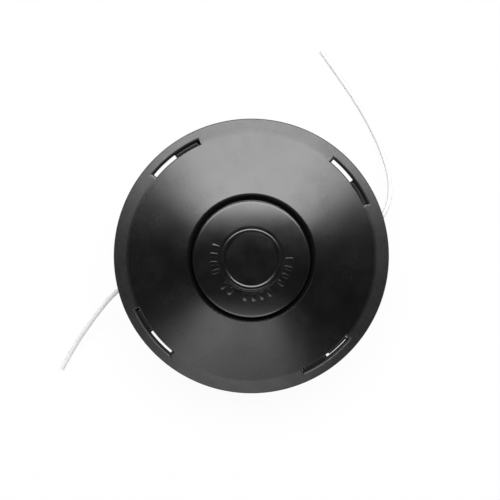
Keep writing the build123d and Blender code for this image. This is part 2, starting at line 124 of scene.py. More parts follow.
# Studio: a pale floor and a low pale wall all round, both plain white to the eye, a large soft
# lamp beyond the head, and a weaker reflector on the near side.
floor_paper = bpy.data.materials.new("floor_paper")
floor_paper.use_nodes = True
nodes, links = floor_paper.node_tree.nodes, floor_paper.node_tree.links
nodes.remove(nodes["Principled BSDF"])
paper = nodes.new("ShaderNodeBsdfDiffuse")
paper.inputs["Color"].default_value = (0.9, 0.9, 0.9, 1.0)
white = nodes.new("ShaderNodeEmission")
rays = nodes.new("ShaderNodeLightPath")
camera_or_glossy = nodes.new("ShaderNodeMath")
camera_or_glossy.operation = "MAXIMUM"
seen = nodes.new("ShaderNodeMath")
seen.operation = "MAXIMUM"
share = nodes.new("ShaderNodeMath")
share.operation = "MULTIPLY"
share.inputs[1].default_value = 0.95
cover_up = nodes.new("ShaderNodeMixShader")
links.new(rays.outputs["Is Camera Ray"], camera_or_glossy.inputs[0])
links.new(rays.outputs["Is Glossy Ray"], camera_or_glossy.inputs[1])
links.new(camera_or_glossy.outputs[0], seen.inputs[0])
links.new(rays.outputs["Is Transmission Ray"], seen.inputs[1])
links.new(seen.outputs[0], share.inputs[0])
links.new(share.outputs[0], cover_up.inputs["Fac"])
links.new(paper.outputs[0], cover_up.inputs[1])
links.new(white.outputs[0], cover_up.inputs[2])
links.new(cover_up.outputs[0], nodes["Material Output"].inputs["Surface"])

floor_reach, wall_radius, wall_height, wall_sides = 5, 4.0, 2.0, 64
floor_corners = [(-floor_reach, -floor_reach, 0), (floor_reach, -floor_reach, 0),
                 (floor_reach, floor_reach, 0), (-floor_reach, floor_reach, 0)]
floor_mesh = bpy.data.meshes.new("floor")
floor_mesh.from_pydata(floor_corners, [], [(0, 1, 2, 3)])
floor_mesh.materials.append(floor_paper)
floor = bpy.data.objects.new("floor", floor_mesh)
bpy.context.scene.collection.objects.link(floor)
wall_angles = [math.tau * i / wall_sides for i in range(wall_sides)]
wall_ring = [(wall_radius * math.cos(angle), wall_radius * math.sin(angle)) for angle in wall_angles]
wall_mesh = bpy.data.meshes.new("backdrop")
wall_mesh.from_pydata(
    [(x, y, z) for z in (0.0, wall_height) for x, y in wall_ring], [],
    [(i, i + wall_sides, (i + 1) % wall_sides + wall_sides, (i + 1) % wall_sides) for i in range(wall_sides)])
wall_mesh.materials.append(floor_paper)
wall = bpy.data.objects.new("backdrop", wall_mesh)
bpy.context.scene.collection.objects.link(wall)

studio = bpy.data.worlds.new("studio")
studio.use_nodes = True
studio.node_tree.nodes["Background"].inputs["Color"].default_value = (1.0, 1.0, 1.0, 1.0)
studio.node_tree.nodes["Background"].inputs["Strength"].default_value = 0.015
bpy.context.scene.world = studio


def soft_lamp(name, left, right, near, far, height, radiance):
    """Flat soft lamp over the head, facing straight down, given by its four sides."""
    lamp = bpy.data.lights.new(name, "AREA")
    lamp.shape = "RECTANGLE"
    lamp.size = right - left
    lamp.size_y = far - near
    lamp.energy = radiance * math.pi * lamp.size * lamp.size_y
    stand = bpy.data.objects.new(name, lamp)
    stand.location = ((left + right) / 2, (near + far) / 2, height)
    bpy.context.scene.collection.objects.link(stand)


soft_lamp("softbox", left=-1.03, right=1.225, near=0.485, far=1.80, height=2.0, radiance=7.9)
soft_lamp("reflector", left=-0.98, right=0.515, near=-1.62, far=-0.94, height=2.0, radiance=3.1)

# Upper housing: a black nylon moulding, the cup that holds everything. It has a hub with the
# shaft seat, a post for nut and spring, grip ribs, four hooks and the cover's lock finger.


def rounded_outline(corners):
    """Section outline in metres from corners (radius, height, edge radius) in millimetres."""
    points = []
    for i, (radius, height, edge) in enumerate(corners):
        here = Vector((radius, height))
        if edge == 0:
            points.append(here)
            continue
        before = Vector(corners[i - 1][:2]) - here
        after = Vector(corners[(i + 1) % len(corners)][:2]) - here
        half = before.angle(after) / 2
        reach = edge / math.tan(half)
        centre = here + (before.normalized() + after.normalized()).normalized() * (edge / math.sin(half))
        start = here + before.normalized() * reach - centre
        swing = start.angle_signed(here + after.normalized() * reach - centre)
        steps = max(3, round(abs(math.degrees(swing)) / 9))
        for step in range(steps + 1):
            points.append(centre + Matrix.Rotation(-swing * step / steps, 2) @ start)
    return [(p.x / 1000, 0.0, p.y / 1000) for p in points]


def box_section(inner, outer, low, high, edges=(0, 0, 0, 0)):
    """Four-cornered section outline, its edge radii going round from the inner lower corner."""
    corners = ((inner, low), (outer, low), (outer, high), (inner, high))
    return rounded_outline([(*corner, edge) for corner, edge in zip(corners, edges)])


def tree_inputs(name, shape, sizes):
    """New geometry tree with one shape, named sizes and a finish going in, and one shape out."""
    tree = bpy.data.node_groups.new(name, "GeometryNodeTree")
    tree.interface.new_socket(shape, in_out="INPUT", socket_type="NodeSocketGeometry")
    for size, kind in sizes.items():
        tree.interface.new_socket(size, in_out="INPUT", socket_type=kind)
    tree.interface.new_socket("Finish", in_out="INPUT", socket_type="NodeSocketMaterial")
    tree.interface.new_socket("Piece", in_out="OUTPUT", socket_type="NodeSocketGeometry")
    return tree, tree.nodes.new("NodeGroupInput"), tree.nodes.new("NodeGroupOutput")


def math_node(tree, operation, *values):
    """Arithmetic on sockets or numbers in a geometry or material tree."""
    node = tree.nodes.new("ShaderNodeMath")
    node.operation = operation
    for socket, value in zip(node.inputs, values):
        if isinstance(value, (int, float)):
            socket.default_value = value
        else:
            tree.links.new(value, socket)
    return node.outputs[0]


def finish_off(tree, geometry, entry, leave):
    """Realize the instances and give the piece its finish, at the end of a geometry tree."""
    real = tree.nodes.new("GeometryNodeRealizeInstances")
    coat = tree.nodes.new("GeometryNodeSetMaterial")
    tree.links.new(geometry, real.inputs["Geometry"])
    tree.links.new(real.outputs[0], coat.inputs["Geometry"])
    tree.links.new(entry.outputs["Finish"], coat.inputs["Material"])
    tree.links.new(coat.outputs[0], leave.inputs["Piece"])


turning, entry, leave = tree_inputs(
    "turned_on_the_axis", "Outline", {"Steps": "NodeSocketInt", "Rows": "NodeSocketInt"})
sheet = turning.nodes.new("GeometryNodeMeshGrid")
number = turning.nodes.new("GeometryNodeInputIndex").outputs[0]
size = turning.nodes.new("GeometryNodeAttributeDomainSize")
corner = turning.nodes.new("GeometryNodeSampleIndex")
corner.data_type = "FLOAT_VECTOR"
corner_parts = turning.nodes.new("ShaderNodeSeparateXYZ")
turned_place = turning.nodes.new("ShaderNodeCombineXYZ")
turned_sheet = turning.nodes.new("GeometryNodeSetPosition")
welded = turning.nodes.new("GeometryNodeMergeByDistance")
welded.inputs["Distance"].default_value = 0.000002
row = math_node(turning, "MODULO", number, entry.outputs["Rows"])
column = math_node(turning, "FLOOR", math_node(turning, "DIVIDE", number, entry.outputs["Rows"]))
angle = math_node(
    turning, "DIVIDE", math_node(turning, "MULTIPLY", column, math.tau), entry.outputs["Steps"])
turning.links.new(math_node(turning, "ADD", entry.outputs["Steps"], 1), sheet.inputs["Vertices X"])
turning.links.new(entry.outputs["Rows"], sheet.inputs["Vertices Y"])
turning.links.new(entry.outputs["Outline"], size.inputs[0])
turning.links.new(entry.outputs["Outline"], corner.inputs["Geometry"])
turning.links.new(turning.nodes.new("GeometryNodeInputPosition").outputs[0], corner.inputs["Value"])
turning.links.new(math_node(turning, "MODULO", row, size.outputs["Point Count"]), corner.inputs["Index"])
turning.links.new(corner.outputs[0], corner_parts.inputs[0])
turning.links.new(math_node(turning, "MULTIPLY", corner_parts.outputs["X"],
                            math_node(turning, "COSINE", angle)), turned_place.inputs["X"])
turning.links.new(math_node(turning, "MULTIPLY", corner_parts.outputs["X"],
                            math_node(turning, "SINE", angle)), turned_place.inputs["Y"])
turning.links.new(corner_parts.outputs["Z"], turned_place.inputs["Z"])
turning.links.new(sheet.outputs["Mesh"], turned_sheet.inputs["Geometry"])
turning.links.new(turned_place.outputs[0], turned_sheet.inputs["Position"])
turning.links.new(turned_sheet.outputs[0], welded.inputs["Geometry"])
finish_off(turning, welded.outputs[0], entry, leave)

ringing, entry, leave = tree_inputs(
    "set_round_the_axis", "Shape",
    {"Count": "NodeSocketInt", "First angle": "NodeSocketFloat", "Pitch": "NodeSocketFloat"})
seats = ringing.nodes.new("GeometryNodePoints")
turn = ringing.nodes.new("FunctionNodeAxisAngleToRotation")
turn.inputs["Axis"].default_value = (0.0, 0.0, 1.0)
seated = ringing.nodes.new("GeometryNodeInstanceOnPoints")
number = ringing.nodes.new("GeometryNodeInputIndex").outputs[0]
ringing.links.new(entry.outputs["Count"], seats.inputs["Count"])
ringing.links.new(math_node(ringing, "ADD", entry.outputs["First angle"],
                            math_node(ringing, "MULTIPLY", number, entry.outputs["Pitch"])),
                  turn.inputs["Angle"])
ringing.links.new(seats.outputs[0], seated.inputs["Points"])
ringing.links.new(entry.outputs["Shape"], seated.inputs["Instance"])
ringing.links.new(turn.outputs[0], seated.inputs["Rotation"])
finish_off(ringing, seated.outputs[0], entry, leave)


def made_by(tree, name, mesh, sizes):
    """Plain mesh that a geometry tree makes from a starting mesh and its sizes."""
    blank = bpy.data.objects.new(name, mesh)
    bpy.context.scene.collection.objects.link(blank)
    maker = blank.modifiers.new("maker", "NODES")
    maker.node_group = tree
    for socket in tree.interface.items_tree:
        if socket.in_out == "INPUT" and socket.name in sizes:
            maker[socket.identifier] = sizes[socket.name]
    depsgraph = bpy.context.evaluated_depsgraph_get()
    made = bpy.data.meshes.new_from_object(blank.evaluated_get(depsgraph))
    bpy.data.objects.remove(blank)
    return made


def turned(name, points, finish, steps=192, closed=True):
    """Mesh turned from a section outline; one that is not closed begins and ends on the axis."""
    outline = bpy.data.meshes.new(name + "_outline")
    outline.from_pydata(points, [], [])
    rows = len(points) + (1 if closed else 0)
    return made_by(turning, name, outline, {"Steps": steps, "Rows": rows, "Finish": finish})


def set_round(name, mesh, count, first, pitch, finish):
    """Mesh of one shape repeated about the axis, its angles in degrees."""
    return made_by(ringing, name, mesh, {
        "Count": count, "First angle": math.radians(first), "Pitch": math.radians(pitch), "Finish": finish})


def end_shift(height, bends):
    """How far an end stands out at a height, from bends (height, shift), all in millimetres."""
    shift = 0.0
    for (low, at_low), (high, at_high) in zip(bends, bends[1:]):
        shift += (at_high - at_low) * min(1.0, max(0.0, (height - low) / (high - low)))
    return shift


def ring_sector(name, outline, sweep, steps=12, bends=((), ()), fall=0.0, ends=None):
    """Solid that follows the ring from angle 0 through a sweep in degrees.

    Its two ends stand out by their bends, whose heights may fall away from the axis. An end that is
    bent can be given as several faces, each by its places in the outline.
    """
    mesh = bpy.data.meshes.new(name)
    count = len(outline)
    points = []
    for step in range(steps + 1):
        along = step / steps
        for r, _, z in outline:
            first, last = (end_shift((z + fall * r) * 1000, bend) / 1000 for bend in bends)
            angle = math.radians(sweep) * along + (along * last - (1 - along) * first) / r
            points.append((r * math.cos(angle), r * math.sin(angle), z))
    faces = [(step * count + i, (step + 1) * count + i, (step + 1) * count + (i + 1) % count,
              step * count + (i + 1) % count) for step in range(steps) for i in range(count)]
    first_end, last_end = ends or ([range(count)], [range(count)])
    faces += [tuple(end) for end in first_end]
    faces += [tuple(steps * count + i for i in reversed(end)) for end in last_end]
    mesh.from_pydata(points, [], faces)
    return mesh


def edged_block(name, low, high, edge):
    """Block between two corners in millimetres, its edges rounded."""
    shape = bmesh.new()
    bmesh.ops.create_cube(shape, size=1.0)
    for vertex in shape.verts:
        vertex.co = [(low[i] + (vertex.co[i] + 0.5) * (high[i] - low[i])) / 1000 for i in range(3)]
    bmesh.ops.bevel(
        shape, geom=shape.edges[:], offset=edge / 1000, segments=3, profile=0.5, affect="EDGES")
    mesh = bpy.data.meshes.new(name)
    shape.to_mesh(mesh)
    shape.free()
    return mesh


def joined(name, meshes):
    """One mesh from several, for one finish."""
    shape = bmesh.new()
    for mesh in meshes:
        shape.from_mesh(mesh)
    for face in shape.faces:
        face.material_index = 0
    whole = bpy.data.meshes.new(name)
    shape.to_mesh(whole)
    shape.free()
    return whole


def as_piece(name, meshes, finish, cutter=None, smooth_below=32):
    """One object from several meshes, the first cut by a cutter mesh, with its edges kept crisp."""
    main = meshes[0]
    if cutter:
        blank = bpy.data.objects.new(name + "_blank", main)
        knife = bpy.data.objects.new(name + "_knife", cutter)
        bpy.context.scene.collection.objects.link(blank)
        bpy.context.scene.collection.objects.link(knife)
        cut = blank.modifiers.new("cut", "BOOLEAN")
        cut.operation = "DIFFERENCE"
        cut.solver = "EXACT"
        cut.object = knife
        depsgraph = bpy.context.evaluated_depsgraph_get()
        main = bpy.data.meshes.new_from_object(blank.evaluated_get(depsgraph))
        bpy.data.objects.remove(blank)
        bpy.data.objects.remove(knife)
    mesh = joined(name, [main] + meshes[1:])
    mesh.materials.append(finish)
    mesh.shade_smooth()
    mesh.set_sharp_from_angle(angle=math.radians(smooth_below))
    piece = bpy.data.objects.new(name, mesh)
    bpy.context.scene.collection.objects.link(piece)
    return piece


def moulded_nylon(name, dark, light, gloss_low, gloss_high, grain):
    """Satin moulded nylon: a faint drift in colour and gloss, and the mould's fine grain."""
    finish = bpy.data.materials.new(name)
    finish.use_nodes = True
    nodes, links = finish.node_tree.nodes, finish.node_tree.links
    shader = nodes["Principled BSDF"]
    shader.inputs["IOR"].default_value = 1.6
    place = nodes.new("ShaderNodeTexCoord")
    flow = nodes.new("ShaderNodeTexNoise")
    flow.inputs["Scale"].default_value = 90.0
    flow.inputs["Detail"].default_value = 5.0
    flow.inputs["Roughness"].default_value = 0.6
    tint = nodes.new("ShaderNodeValToRGB")
    tint.name = "tint"
    tint.color_ramp.elements[0].position = 0.3
    tint.color_ramp.elements[1].position = 0.7
    tint.color_ramp.elements[0].color = (*dark, 1.0)
    tint.color_ramp.elements[1].color = (*light, 1.0)
    gloss = nodes.new("ShaderNodeMapRange")
    gloss.name = "gloss"
    gloss.inputs["From Min"].default_value = 0.3
    gloss.inputs["From Max"].default_value = 0.7
    gloss.inputs["To Min"].default_value = gloss_low
    gloss.inputs["To Max"].default_value = gloss_high
    pits = nodes.new("ShaderNodeTexNoise")
    pits.name = "pits"
    pits.inputs["Scale"].default_value = 1900.0
    pits.inputs["Detail"].default_value = 2.0
    relief = nodes.new("ShaderNodeBump")
    relief.name = "relief"
    relief.inputs["Strength"].default_value = grain
    relief.inputs["Distance"].default_value = 0.00004
    links.new(place.outputs["Object"], flow.inputs["Vector"])
    links.new(place.outputs["Object"], pits.inputs["Vector"])
    links.new(flow.outputs["Fac"], tint.inputs["Fac"])
    links.new(tint.outputs["Color"], shader.inputs["Base Color"])
    links.new(flow.outputs["Fac"], gloss.inputs["Value"])
    links.new(gloss.outputs["Result"], shader.inputs["Roughness"])
    links.new(pits.outputs["Fac"], relief.inputs["Height"])
    links.new(relief.outputs["Normal"], shader.inputs["Normal"])
    return finish


eyelet_height = 0.0225


def across_at(angle):
    """Placing of a shape turned about Z so that it points out from the axis at the eyelets' height."""
    swing = math.radians(angle)
    out = Vector((math.cos(swing), math.sin(swing), 0.0))
    side = Vector((-math.sin(swing), math.cos(swing), 0.0))
    placing = Matrix((side, Vector((0.0, 0.0, 1.0)), out)).transposed().to_4x4()
    placing.translation = (0.0, 0.0, eyelet_height)
    return placing


housing_nylon = moulded_nylon(
    "housing_nylon", dark=(0.0045, 0.0045, 0.0049), light=(0.0075, 0.0075, 0.0080),
    gloss_low=0.27, gloss_high=0.33, grain=0.25)
cup_outer, cup_inner, cup_top, cup_foot, cup_floor = 60.0, 57.0, 35.5, 4.5, 7.7
hub_radius, post_radius, post_top, nut_pocket = 24.0, 12.5, 42.5, 10.09
shaft_hole, seat_pocket, seat_depth = 5.6, 15.1, 1.6
cup_outline = rounded_outline([
    (seat_pocket, 0, 0.3), (hub_radius, 0, 0.6), (hub_radius, cup_foot, 1.5), (cup_outer, cup_foot, 9.0),
    (cup_outer, cup_top, 0.5), (cup_inner, cup_top, 0.5), (cup_inner, cup_floor, 6.0),
    (post_radius, cup_floor, 0.6), (post_radius, post_top, 0.8), (nut_pocket, post_top, 0.5),
    (nut_pocket, cup_foot, 0), (shaft_hole, cup_foot, 0.3), (shaft_hole, seat_depth, 0.3),
    (seat_pocket, seat_depth, 0)])
cup = turned("cup", cup_outline, housing_nylon)
eyelet_angles = {"right": 12.5, "left": 192.5}
eyelet_bore_radius = 3.45
eyelet_bore = box_section(inner=0, outer=eyelet_bore_radius, low=52.0, high=63.0)
boss_outline = box_section(inner=eyelet_bore_radius, outer=6.4, low=58.0, high=60.6, edges=(0, 0, 0.4, 0.1))
cutters, bosses = [], []
for eyelet_angle in eyelet_angles.values():
    bore = turned("eyelet_bore", eyelet_bore, housing_nylon, 48, closed=False)
    bore.transform(across_at(eyelet_angle))
    cutters.append(bore)
    boss = turned("eyelet_boss", boss_outline, housing_nylon, 64)
    boss.transform(across_at(eyelet_angle))
    bosses.append(boss)
slit = ring_sector("slit", box_section(inner=54.0, outer=61.2, low=20.5, high=44.0), sweep=1.0, steps=2)
cutters.append(set_round("slits", slit, 2, 307.5, 12.25, housing_nylon))
grip_rib = edged_block("grip_rib", (59.0, -1.6, 13.5), (60.9, 1.6, 28.0), 0.5)
grip_ribs = [set_round("grip_ribs", grip_rib.copy(), count, first, 12.0, housing_nylon)
             for count, first in ((13, 30.5), (8, 210.5), (3, 330.5))]
back_rib = edged_block("back_rib", (22.5, -1.2, 1.2), (54.0, 1.2, 6.1), 0.4)
back_ribs = set_round("back_ribs", back_rib, 8, 0.0, 45.0, housing_nylon)
hook_root, hook_inner, hook_foot, hook_bed, hook_top = 58.5, 61.55, 33.6, 35.3, 36.1


def hook_section(outer, edge):
    """Section of a hook or of the lock finger, out to a radius and with one edge radius."""
    return rounded_outline([
        (hook_root, hook_foot, 0.2), (outer, hook_foot, edge), (outer, hook_top, edge),
        (hook_inner, hook_top, edge), (hook_inner, hook_bed, 0), (hook_root, hook_bed, 0.2)])


hook_ends = ((35.7, 0.0), (hook_top, -0.4))
hook = ring_sector("hook", hook_section(63.0, 0.25), 10.9, 16, (hook_ends, hook_ends))
hooks = set_round("hooks", hook, 4, 25.3, 90.0, housing_nylon)
finger = ring_sector("finger", hook_section(62.5, 0.15), 11.25, 16, (hook_ends, hook_ends))
tip_outline = box_section(inner=61.8, outer=63.4, low=hook_foot, high=35.9, edges=(0.2, 0.2, 0.2, 0.2))
finger_tip = ring_sector("finger_tip", tip_outline, 1.0, 4)
lock_finger = [set_round("lock_finger", finger, 1, 308.5, 0.0, housing_nylon),
               set_round("lock_finger_tip", finger_tip, 1, 318.7, 0.0, housing_nylon)]
stop_outline = box_section(inner=34.5, outer=40.5, low=6.1, high=10.7, edges=(0, 0, 0.3, 0.3))
stops = set_round("stops", ring_sector("stop", stop_outline, 8.0, 6), 8, 34.5, 45.0, housing_nylon)
housing = as_piece("housing_moulding", [cup, back_ribs, hooks, stops] + lock_finger + bosses + grip_ribs,
                   housing_nylon, joined("housing_cutters", cutters))
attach(housing, "housing")
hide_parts("upper_housing")

# Shaft seat: a zinc-plated steel washer let into the mounting face, the long hexagon nut that is
# captive in the post behind it, and the pressed acetal ring that keeps the nut there.


def plated_steel(name, dark, light, gloss_low, gloss_high):
    """Bright plated steel with fine tool marks and slight clouding."""
    finish = bpy.data.materials.new(name)
    finish.use_nodes = True
    nodes, links = finish.node_tree.nodes, finish.node_tree.links
    shader = nodes["Principled BSDF"]
    shader.inputs["Metallic"].default_value = 1.0
    place = nodes.new("ShaderNodeTexCoord")
    clouds = nodes.new("ShaderNodeTexNoise")
    clouds.inputs["Scale"].default_value = 700.0
    clouds.inputs["Detail"].default_value = 4.0
    tint = nodes.new("ShaderNodeValToRGB")
    tint.color_ramp.elements[0].color = (*dark, 1.0)
    tint.color_ramp.elements[1].color = (*light, 1.0)
    gloss = nodes.new("ShaderNodeMapRange")
    gloss.inputs["To Min"].default_value = gloss_low
    gloss.inputs["To Max"].default_value = gloss_high
    links.new(place.outputs["Object"], clouds.inputs["Vector"])
    links.new(clouds.outputs["Fac"], tint.inputs["Fac"])
    links.new(tint.outputs["Color"], shader.inputs["Base Color"])
    links.new(clouds.outputs["Fac"], gloss.inputs["Value"])
    links.new(gloss.outputs["Result"], shader.inputs["Roughness"])
    return finish


def dress(node, finish):
    """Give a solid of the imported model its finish."""
    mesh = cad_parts[node].data
    mesh.materials.clear()
    mesh.materials.append(finish)


bright_zinc = plated_steel(
    "bright_zinc", dark=(0.50, 0.50, 0.49), light=(0.68, 0.68, 0.66), gloss_low=0.22, gloss_high=0.40)
natural_acetal = moulded_nylon(
    "natural_acetal", dark=(0.55, 0.53, 0.47), light=(0.63, 0.61, 0.55),
    gloss_low=0.35, gloss_high=0.45, grain=0.1)
seat_outline = box_section(inner=5.9, outer=14.8, low=0, high=seat_depth, edges=(0.25, 0.25, 0.25, 0.25))
seat = as_piece("shaft_seat_washer", [turned("seat", seat_outline, bright_zinc, 128)], bright_zinc)
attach(seat, "housing")
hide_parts("seat_washer")
dress("arbor_nut", bright_zinc)
dress("nut_retainer", natural_acetal)

# Eyelets: flanged steel tubes, plated, pressed into the housing wall with a flared mouth
# that the line can rub round without being cut.
eyelet_outline = rounded_outline([(1.9, 56.0, 0.85), (3.4, 56.0, 0.2), (3.4, 60.6, 0), (4.8, 60.6, 0.2),
                                  (4.8, 61.8, 0.4), (1.9, 61.8, 1.7)])
for side, eyelet_angle in eyelet_angles.items():
    flared = turned("eyelet", eyelet_outline, bright_zinc, 72)
    flared.transform(across_at(eyelet_angle))
    eyelet = as_piece("steel_eyelet_" + side, [flared], bright_zinc)
    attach(eyelet, "housing")
    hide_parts("line_eyelet_" + side)

# Bump spring: drawn spring wire, wound in six turns round the post between two plated washers.
# The lower washer lies on the housing floor, and the upper one is pushed down by the knob's stroke.
spring_steel = plated_steel(
    "drawn_spring_steel", dark=(0.36, 0.36, 0.37), light=(0.48, 0.48, 0.49), gloss_low=0.25, gloss_high=0.38)
coiling, entry, leave = tree_inputs(
    "coiled_wire", "Blank",
    {"Turns": "NodeSocketFloat", "Coil radius": "NodeSocketFloat", "Wire radius": "NodeSocketFloat",
     "Bottom": "NodeSocketFloat", "Height": "NodeSocketFloat"})
helix = coiling.nodes.new("GeometryNodeCurveSpiral")
helix.inputs["Resolution"].default_value = 48
wire = coiling.nodes.new("GeometryNodeCurvePrimitiveCircle")
wire.inputs["Resolution"].default_value = 16
drawn = coiling.nodes.new("GeometryNodeCurveToMesh")
drawn.inputs["Fill Caps"].default_value = True
lifted = coiling.nodes.new("GeometryNodeTransform")
lift = coiling.nodes.new("ShaderNodeCombineXYZ")
coiling.links.new(entry.outputs["Turns"], helix.inputs["Rotations"])
coiling.links.new(entry.outputs["Coil radius"], helix.inputs["Start Radius"])
coiling.links.new(entry.outputs["Coil radius"], helix.inputs["End Radius"])
coiling.links.new(entry.outputs["Height"], helix.inputs["Height"])
coiling.links.new(entry.outputs["Wire radius"], wire.inputs["Radius"])
coiling.links.new(helix.outputs["Curve"], drawn.inputs["Curve"])
coiling.links.new(wire.outputs["Curve"], drawn.inputs["Profile Curve"])
coiling.links.new(drawn.outputs[0], lifted.inputs["Geometry"])
coiling.links.new(entry.outputs["Bottom"], lift.inputs["Z"])
coiling.links.new(lift.outputs[0], lifted.inputs["Translation"])
finish_off(coiling, lifted.outputs[0], entry, leave)
coil = made_by(coiling, "coil", bpy.data.meshes.new("blank"), {
    "Turns": 6.0, "Coil radius": 0.0141, "Wire radius": 0.0008, "Bottom": 0.0095, "Height": 0.0217,
    "Finish": spring_steel})
spring = as_piece("coil_spring", [coil], spring_steel, smooth_below=50)
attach(spring, "housing")
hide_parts("bump_spring")
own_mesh(spring)
dress("spring_seat", bright_zinc)
dress("thrust_washer", bright_zinc)

# Spool: a dark grey nylon reel with two chambers and ratchet teeth on both faces, filled with
# line that is wound turn beside turn.
spool_nylon = moulded_nylon(
    "spool_nylon", dark=(0.042, 0.042, 0.046), light=(0.058, 0.058, 0.063),
    gloss_low=0.38, gloss_high=0.48, grain=0.3)
dress("spool", spool_nylon)
dress("line_winding_upper", drawn_nylon)
dress("line_winding_lower", drawn_nylon)

# Bump knob: a black nylon cap, domed, with a beaded dish in its middle and raised bars round
# the lower half of the dish. Its wall is glossier, and three steel screws hold it from inside.
knob_nylon = moulded_nylon(
    "knob_nylon", dark=(0.0028, 0.0028, 0.0031), light=(0.0046, 0.0046, 0.0049),
    gloss_low=0.18, gloss_high=0.24, grain=0.06)
nodes, links = knob_nylon.node_tree.nodes, knob_nylon.node_tree.links
place = nodes.new("ShaderNodeTexCoord")
height = nodes.new("ShaderNodeSeparateXYZ")
wall_change = nodes.new("ShaderNodeMapRange")
wall_change.inputs["From Min"].default_value = 0.0550
wall_change.inputs["From Max"].default_value = 0.0544
wall_change.inputs["To Max"].default_value = -0.12
links.new(place.outputs["Object"], height.inputs[0])
links.new(height.outputs["Z"], wall_change.inputs["Value"])
wall_gloss = math_node(
    knob_nylon.node_tree, "ADD", nodes["gloss"].outputs["Result"], wall_change.outputs["Result"])
links.new(wall_gloss, nodes["Principled BSDF"].inputs["Roughness"])
knob_radius, edge_radius, edge_lean, edge_drop = 27.9, 0.15, 80, 0.985
dome_start, dome_edge, dome_foot, dome_base, dome_rise = 27.78, 27.7, 15.55, 55.5, 1.5
dish_radius, dish_edge, dish_rise = 12.5, 56.55, 0.36
hollow_radius, hollow_top, flange_radius, flange_foot, flange_top = 25.0, 52.6, 32.2, 41.4, 43.4
dome_fall = dome_rise / (dome_edge ** 2 - dome_foot ** 2)


def dome_height(radius):
    """Height of the knob's dome at a radius, in millimetres."""
    return dome_base + dome_fall * (dome_edge ** 2 - radius ** 2)


knob_foot = rounded_outline([
    (0, hollow_top, 0), (hollow_radius, hollow_top, 1.0), (hollow_radius, flange_foot, 0.2),
    (flange_radius, flange_foot, 0.3), (flange_radius, flange_top, 0.4), (knob_radius, flange_top, 0.4),
    (knob_radius, 50.0, 0)])
knob_top = []
for step in range(6):
    lean = math.radians(edge_lean * step / 5)
    knob_top.append((knob_radius - edge_radius * (1 - math.cos(lean)),
                     dome_height(dome_start) - edge_radius * (edge_drop - math.sin(lean))))
for step in range(1, 15):
    radius = dome_start + (dome_foot - dome_start) * step / 14
    knob_top.append((radius, dome_height(radius)))
bead = ((15.5, -0.005), (15.25, -0.055), (15.15, -0.06), (14.75, -0.06), (14.65, -0.045), (14.3, 0.05),
        (14.2, 0.06), (13.7, 0.08), (13.2, 0.07), (13.13, 0.06), (13.08, 0.039), (12.75, -0.097),
        (12.7, -0.118), (12.6, -0.135))
knob_top += [(radius, dome_height(dome_foot) + rise) for radius, rise in bead]
for step in range(11):
    radius = dish_radius * (1 - step / 10)
    knob_top.append((radius, dish_edge + dish_rise * (1 - (radius / dish_radius) ** 2)))
knob_outline = knob_foot + [(r / 1000, 0.0, z / 1000) for r, z in knob_top]
cap = turned("cap", knob_outline, knob_nylon, 192, closed=False)
bar_outer, bar_inner, bar_swell, bar_half_width = 19.6, 16.8, 0.7, 1.1
bar_root, bar_height, bar_edge = 0.6, 0.9, 0.2
bar_shape = bmesh.new()
bar_rim = []
for end, middle in ((0.0, bar_outer), (180.0, bar_inner)):
    for step in range(9):
        lean = math.radians(end - 90 + 180 * step / 8)
        bar_rim.append((middle + bar_swell * math.cos(lean), bar_half_width * math.sin(lean)))
for r, y in bar_rim:
    bar_shape.verts.new((r / 1000, y / 1000, (dome_height(r) - bar_root) / 1000))
bar_foot = bar_shape.faces.new(bar_shape.verts)
bar_top = bmesh.ops.extrude_face_region(bar_shape, geom=[bar_foot])["geom"]
for vertex in (item for item in bar_top if isinstance(item, bmesh.types.BMVert)):
    vertex.co.z += bar_height / 1000
bmesh.ops.recalc_face_normals(bar_shape, faces=bar_shape.faces[:])
bar_edges = [edge for edge in bar_shape.edges
             if all(v.co.z > dome_height(v.co.x * 1000) / 1000 for v in edge.verts)]
bmesh.ops.bevel(
    bar_shape, geom=bar_edges, offset=bar_edge / 1000, segments=3, profile=0.5, affect="EDGES")
bar = bpy.data.meshes.new("raised_bar")
bar_shape.to_mesh(bar)
bar_shape.free()
bars = [set_round("raised_bars", bar.copy(), count, first, 12.8, knob_nylon)
        for count, first in ((4, 160.0), (2, 223.5), (4, 260.5), (4, 321.5))]
screw_circle = 0.0196
post_outline = box_section(inner=0, outer=3.8, low=43.0, high=53.5, edges=(0, 0.3, 0, 0))
post = turned("screw_post", post_outline, knob_nylon, 32, closed=False)
post.transform(Matrix.Translation((screw_circle, 0.0, 0.0)))
posts = set_round("screw_posts", post, 3, 0.0, 120.0, knob_nylon)
knob = as_piece("domed_knob", [cap, posts] + bars, knob_nylon)
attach(knob, "reel")
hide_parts("bump_knob")
dress("knob_screws", bright_zinc)

# Bottom cover: a black nylon moulding, a shallow satin cone with a grained rim and matt inner walls. The
# rim's colour is painted lighter in speckles that follow the grain, a painted sheen for the highlights the
# grain spreads.
# Its four curved windows show the housing's hooks, which hold the ledges below.
cover_nylon = moulded_nylon(
    "cover_nylon", dark=(0.0028, 0.0028, 0.0031), light=(0.0046, 0.0046, 0.0049),
    gloss_low=0.235, gloss_high=0.29, grain=0.08)
nodes, links = cover_nylon.node_tree.nodes, cover_nylon.node_tree.links
place = nodes.new("ShaderNodeTexCoord")
flat = nodes.new("ShaderNodeVectorMath")
flat.operation = "MULTIPLY"
flat.inputs[1].default_value = (1.0, 1.0, 0.0)
radius = nodes.new("ShaderNodeVectorMath")
radius.operation = "LENGTH"
grain_and_sheen_band = nodes.new("ShaderNodeMapRange")
grain_and_sheen_band.inputs["From Min"].default_value = 0.0605
grain_and_sheen_band.inputs["From Max"].default_value = 0.0630
